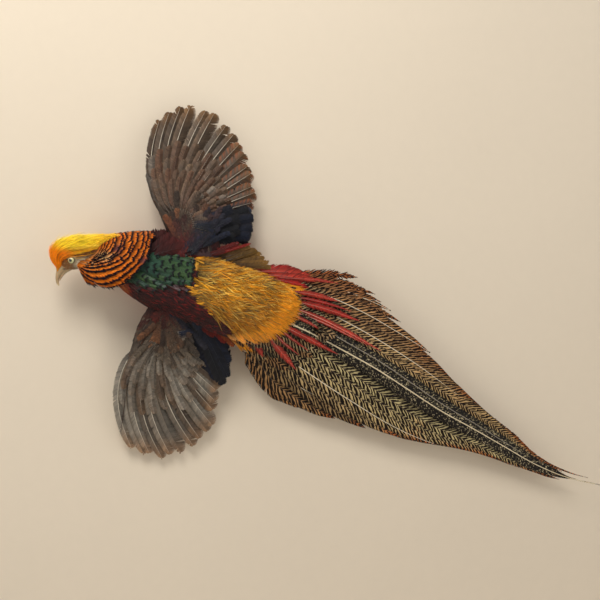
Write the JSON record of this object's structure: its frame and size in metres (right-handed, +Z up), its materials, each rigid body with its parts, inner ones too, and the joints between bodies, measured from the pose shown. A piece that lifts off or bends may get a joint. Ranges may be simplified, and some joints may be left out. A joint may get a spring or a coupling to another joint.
{
  "type": "taxidermy golden pheasant cock, wall mount in flight",
  "caption": "Life-size mounted golden pheasant cock in flight, wings and long tail spread flat to the wall, head in profile, on a plain hanger plate.",
  "frame": {"origin": "back face of the hanger plate, on the wall, behind the middle of the belly", "axes": "+X along the wall from the bill to the tail tip, +Z up, +Y into the wall; the bird's back faces -Y"},
  "size_m": [0.8387, 0.1061, 0.6891],
  "materials": {
    "hanger_steel": "dull zinc-coated plate",
    "body_plumage": "soft overlapping body feathers, scarlet, green and golden by region",
    "crest_plumage": "silky golden hair-like feathers",
    "cape_plumage": "broad orange feathers barred with blue-black",
    "horn": "pale yellowish horn with a soft shine",
    "eye_glass": "polished, pale yellow-green iris and black pupil",
    "wing_feather": "grey-brown flight feathers with pale shafts and worn pale tips",
    "tertial_feather": "blue-black feathers with a slight sheen",
    "tail_feather": "buff feathers with narrow dark slanting bars",
    "tail_middle_feather": "black feathers spotted with grey buff",
    "scarlet_plume": "narrow scarlet feathers with pale shafts",
    "leg_scale": "dry horn-yellow scales"
  },
  "bodies": {
    "root": {"hanger_plate": "hanger_steel", "head": "body_plumage", "neck": "body_plumage", "trunk": "body_plumage", "rump": "body_plumage", "eye_left": "eye_glass", "eye_right": "eye_glass", "bill_upper": "horn", "bill_lower": "horn", "cape": "cape_plumage", "crest": "crest_plumage", "wing_arm_right": "body_plumage", "primaries_right": "wing_feather", "secondaries_right": "wing_feather", "tertials_right": "tertial_feather", "wing_arm_left": "body_plumage", "primaries_left": "wing_feather", "secondaries_left": "wing_feather", "tertials_left": "tertial_feather", "tail_side_right": "tail_feather", "tail_side_left": "tail_feather", "tail_middle": "tail_middle_feather", "tail_plumes": "scarlet_plume", "thigh_left": "body_plumage", "shank_left": "leg_scale", "foot_left": "leg_scale", "thigh_right": "body_plumage", "shank_right": "leg_scale", "foot_right": "leg_scale"}
  },
  "joints": []
}
